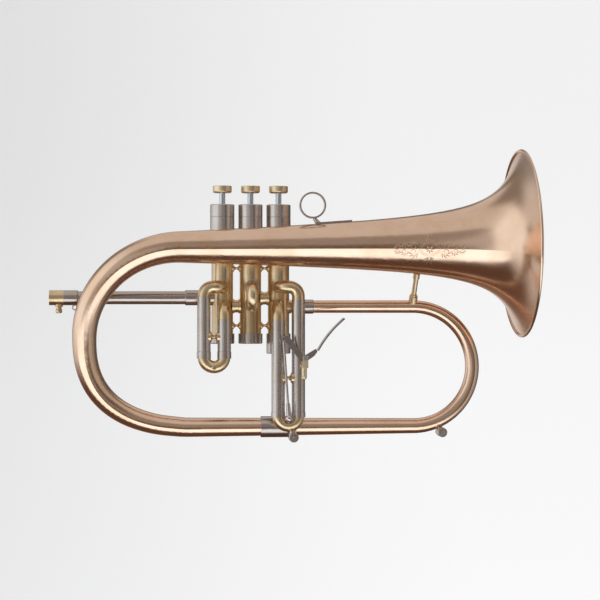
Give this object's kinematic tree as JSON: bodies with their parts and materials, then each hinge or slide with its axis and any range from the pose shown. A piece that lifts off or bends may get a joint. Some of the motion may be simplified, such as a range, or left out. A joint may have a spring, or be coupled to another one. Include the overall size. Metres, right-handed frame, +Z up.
{
  "type": "flugelhorn",
  "caption": "Satin flugelhorn with piston valves, sliding mouthpipe, first, second and triggered third valve slides, push-button water keys and a wide conical bell.",
  "frame": {"origin": "centre of the mouthpiece receiver's mouth", "axes": "+X along the leadpipe towards the bell's rim, +Z up along the valves towards the finger buttons, -Y towards the side the slides stand on (the player's right)"},
  "size_m": [0.4129, 0.1646, 0.2553],
  "materials": {
    "rose_brass": "satin brushed lacquer",
    "rose_brass_wire": "satin",
    "yellow_brass": "satin brushed",
    "button_brass": "satin turned",
    "nickel_silver": "satin brushed",
    "monel": "lapped",
    "spring_steel": "bright wire",
    "felt": "pressed wool",
    "guide_plastic": "moulded"
  },
  "bodies": {
    "horn": {"bell": "rose_brass", "main_crook": "rose_brass", "bell_rim_wire": "rose_brass_wire", "valve_casing_1": "yellow_brass", "valve_casing_2": "yellow_brass", "valve_casing_3": "yellow_brass", "crossover_tubes": "yellow_brass", "casing_braces": "yellow_brass", "slide_1_elbows": "yellow_brass", "slide_3_elbows": "yellow_brass", "slide_2_outer_tubes": "yellow_brass", "slide_braces": "yellow_brass", "exit_stub": "yellow_brass", "receiver_clamp": "yellow_brass", "trigger_bracket": "yellow_brass", "leadpipe_brace": "yellow_brass", "bell_brace": "yellow_brass", "valve_barrels": "nickel_silver", "valve_top_caps": "nickel_silver", "valve_bottom_caps": "nickel_silver", "leadpipe_collar": "nickel_silver", "leadpipe_ferrule": "nickel_silver", "leadpipe_sleeve": "nickel_silver", "bell_ferrule": "nickel_silver", "exit_ferrule": "nickel_silver", "finger_ring": "nickel_silver", "slide_1_outer_tubes": "nickel_silver", "slide_3_outer_tubes": "nickel_silver", "main_water_key": "nickel_silver", "valve_spring_1": "spring_steel", "valve_spring_2": "spring_steel", "valve_spring_3": "spring_steel", "trigger_spring": "spring_steel", "trigger_pivot_pin": "spring_steel", "cap_felts": "felt", "valve_guides": "guide_plastic"},
    "mouthpipe": {"mouthpipe": "nickel_silver"},
    "thumbscrew": {"clamp_thumbscrew": "yellow_brass"},
    "first_slide": {"slide_1_legs": "nickel_silver", "slide_1_crook": "yellow_brass", "slide_1_knob": "yellow_brass"},
    "second_slide": {"slide_2_legs": "nickel_silver", "slide_2_crook": "yellow_brass"},
    "third_slide": {"slide_3_legs": "nickel_silver", "slide_3_crook": "yellow_brass", "trigger_ball_post": "nickel_silver", "slide_water_key": "nickel_silver"},
    "trigger": {"trigger_lever": "nickel_silver"},
    "trigger_rod": {"trigger_rod": "nickel_silver"},
    "slide_key_button": {"slide_water_key_button": "nickel_silver"},
    "main_key_button": {"main_water_key_button": "nickel_silver"},
    "valve_1": {"piston_1": "monel", "valve_stem_1": "monel", "finger_button_1": "button_brass"},
    "valve_2": {"piston_2": "monel", "valve_stem_2": "monel", "finger_button_2": "button_brass"},
    "valve_3": {"piston_3": "monel", "valve_stem_3": "monel", "finger_button_3": "button_brass"}
  },
  "joints": [
    {"name": "valve_1_travel", "type": "slide", "parent": "horn", "child": "valve_1", "axis": [0, 0, -1], "range_m": [0, 0.015], "deforming": ["valve_spring_1"]},
    {"name": "valve_2_travel", "type": "slide", "parent": "horn", "child": "valve_2", "axis": [0, 0, -1], "range_m": [0, 0.015], "deforming": ["valve_spring_2"]},
    {"name": "valve_3_travel", "type": "slide", "parent": "horn", "child": "valve_3", "axis": [0, 0, -1], "range_m": [0, 0.015], "deforming": ["valve_spring_3"]},
    {"name": "mouthpipe_tuning", "type": "slide", "parent": "horn", "child": "mouthpipe", "axis": [-1, 0, 0], "range_m": [0, 0.022]},
    {"name": "thumbscrew_turn", "type": "hinge", "parent": "horn", "child": "thumbscrew", "pos_m": [0.0083, 0, -0.01], "axis": [0, 0, 1], "range_deg": [0, 180]},
    {"name": "first_slide_pull", "type": "slide", "parent": "horn", "child": "first_slide", "axis": [0, 0, -1], "range_m": [0, 0.018]},
    {"name": "second_slide_pull", "type": "slide", "parent": "horn", "child": "second_slide", "axis": [0, -1, 0], "range_m": [0, 0.006]},
    {"name": "third_slide_travel", "type": "slide", "parent": "horn", "child": "third_slide", "axis": [0, 0, -1], "range_m": [0, 0.01]},
    {"name": "trigger_swing", "type": "hinge", "parent": "horn", "child": "trigger", "pos_m": [0.2216, -0.0301, -0.0524], "axis": [0, -1, 0], "range_deg": [0, 27.97]},
    {"name": "trigger_rod_swing", "type": "hinge", "parent": "trigger", "child": "trigger_rod", "pos_m": [0.2028, -0.0278, -0.0357], "axis": [0, -1, 0], "range_deg": [-22.87, 0]},
    {"name": "slide_key_push", "type": "slide", "parent": "third_slide", "child": "slide_key_button", "axis": [0, 1, 0], "range_m": [0, 0.002]},
    {"name": "main_key_push", "type": "slide", "parent": "horn", "child": "main_key_button", "axis": [0, 1, 0], "range_m": [0, 0.002]}
  ],
  "couplings": [
    {"joint": "trigger_swing", "follows": "third_slide_travel", "rad_per_m": 48.785},
    {"joint": "trigger_rod_swing", "follows": "third_slide_travel", "rad_per_m": -39.873}
  ]
}
